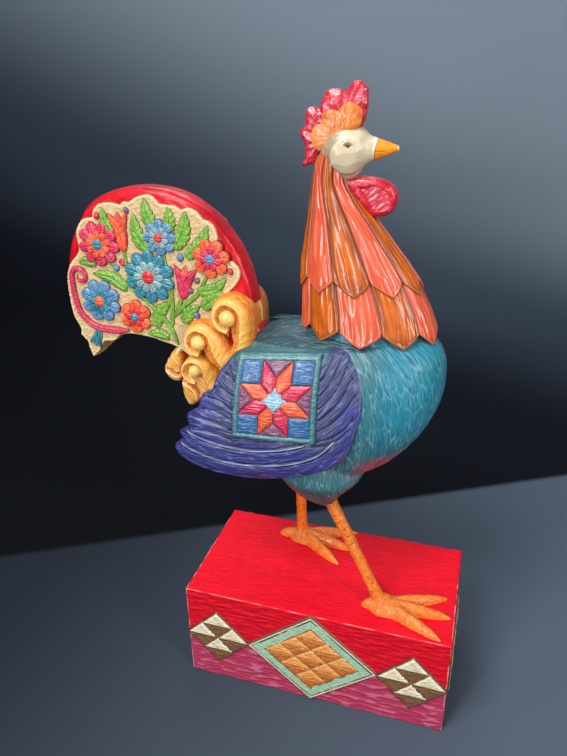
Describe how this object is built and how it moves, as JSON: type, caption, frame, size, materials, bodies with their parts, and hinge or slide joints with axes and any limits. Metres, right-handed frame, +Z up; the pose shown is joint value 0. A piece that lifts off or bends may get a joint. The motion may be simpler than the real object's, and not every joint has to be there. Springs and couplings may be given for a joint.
{
  "type": "rooster figurine",
  "caption": "Standing rooster figurine of carved, painted wood with a patchwork wing, scrolled curls and an arched tail, on a rectangular block with diamonds.",
  "frame": {"origin": "centre of the block's resting face", "axes": "+X forward, where the beak points; +Y to the bird's left; +Z up"},
  "size_m": [0.2977, 0.1117, 0.4377],
  "materials": {
    "red_gloss": "carved wood, painted and varnished glossy red",
    "block_red": "carved wood, painted red above and rose below, varnished satin, edges worn pale",
    "sandy_cream": "wood, painted cream with a painted vine, satin",
    "mint": "wood, painted patchwork in mint, amber, cream and brown, satin",
    "teal": "carved wood, painted teal with pale brushed strokes, varnished glossy",
    "indigo": "carved wood, painted indigo with a pale wash along the edge, satin",
    "plum": "wood, painted patchwork in plum, crimson, orange and blue, satin",
    "coral": "carved wood, painted coral and amber, varnished glossy",
    "amber": "carved wood, painted amber and coral, varnished glossy",
    "curl_gold": "carved wood, painted amber with cream-yellow high spots, satin",
    "ivory": "carved wood, painted ivory, satin",
    "beak_orange": "carved wood, painted orange, satin",
    "crimson": "carved wood, painted crimson with a pale wash, glossy",
    "crest_orange": "carved wood, painted orange with pale strokes, satin",
    "leg_orange": "carved wood, painted orange with dark dashes, satin",
    "eye_black": "glossy black bead",
    "zinc_steel": "zinc-plated rod, plain",
    "beech": "beech dowel, unpainted",
    "green_felt": "wool felt, dark green"
  },
  "bodies": {
    "root": {"beak": "beak_orange", "body": "teal", "comb": "crimson", "crest_left": "crest_orange", "crest_right": "crest_orange", "curl_bottom_left": "curl_gold", "curl_bottom_right": "curl_gold", "curl_lower_left": "curl_gold", "curl_lower_right": "curl_gold", "curl_middle_left": "curl_gold", "curl_middle_right": "curl_gold", "curl_rear": "curl_gold", "curl_upper_left": "curl_gold", "curl_upper_right": "curl_gold", "eye_left": "eye_black", "eye_right": "eye_black", "foot_left": "leg_orange", "foot_right": "leg_orange", "hackle_lower": "coral", "hackle_upper": "amber", "head": "ivory", "head_dowel": "beech", "leg_left": "leg_orange", "leg_right": "leg_orange", "leg_rod_left": "zinc_steel", "leg_rod_right": "zinc_steel", "neck_core": "amber", "neck_dowel": "beech", "plinth_block": "block_red", "plinth_felt": "green_felt", "tail": "red_gloss", "tail_dowel": "beech", "tail_panel_left": "sandy_cream", "tail_panel_right": "sandy_cream", "tile_front_end": "mint", "tile_left_front": "mint", "tile_left_large": "mint", "tile_left_rear": "mint", "tile_rear_end": "mint", "tile_right_front": "mint", "tile_right_large": "mint", "tile_right_rear": "mint", "wattle": "crimson", "wing_left": "indigo", "wing_panel_left": "plum", "wing_panel_right": "plum", "wing_peg_left": "beech", "wing_peg_right": "beech", "wing_right": "indigo"}
  },
  "joints": []
}
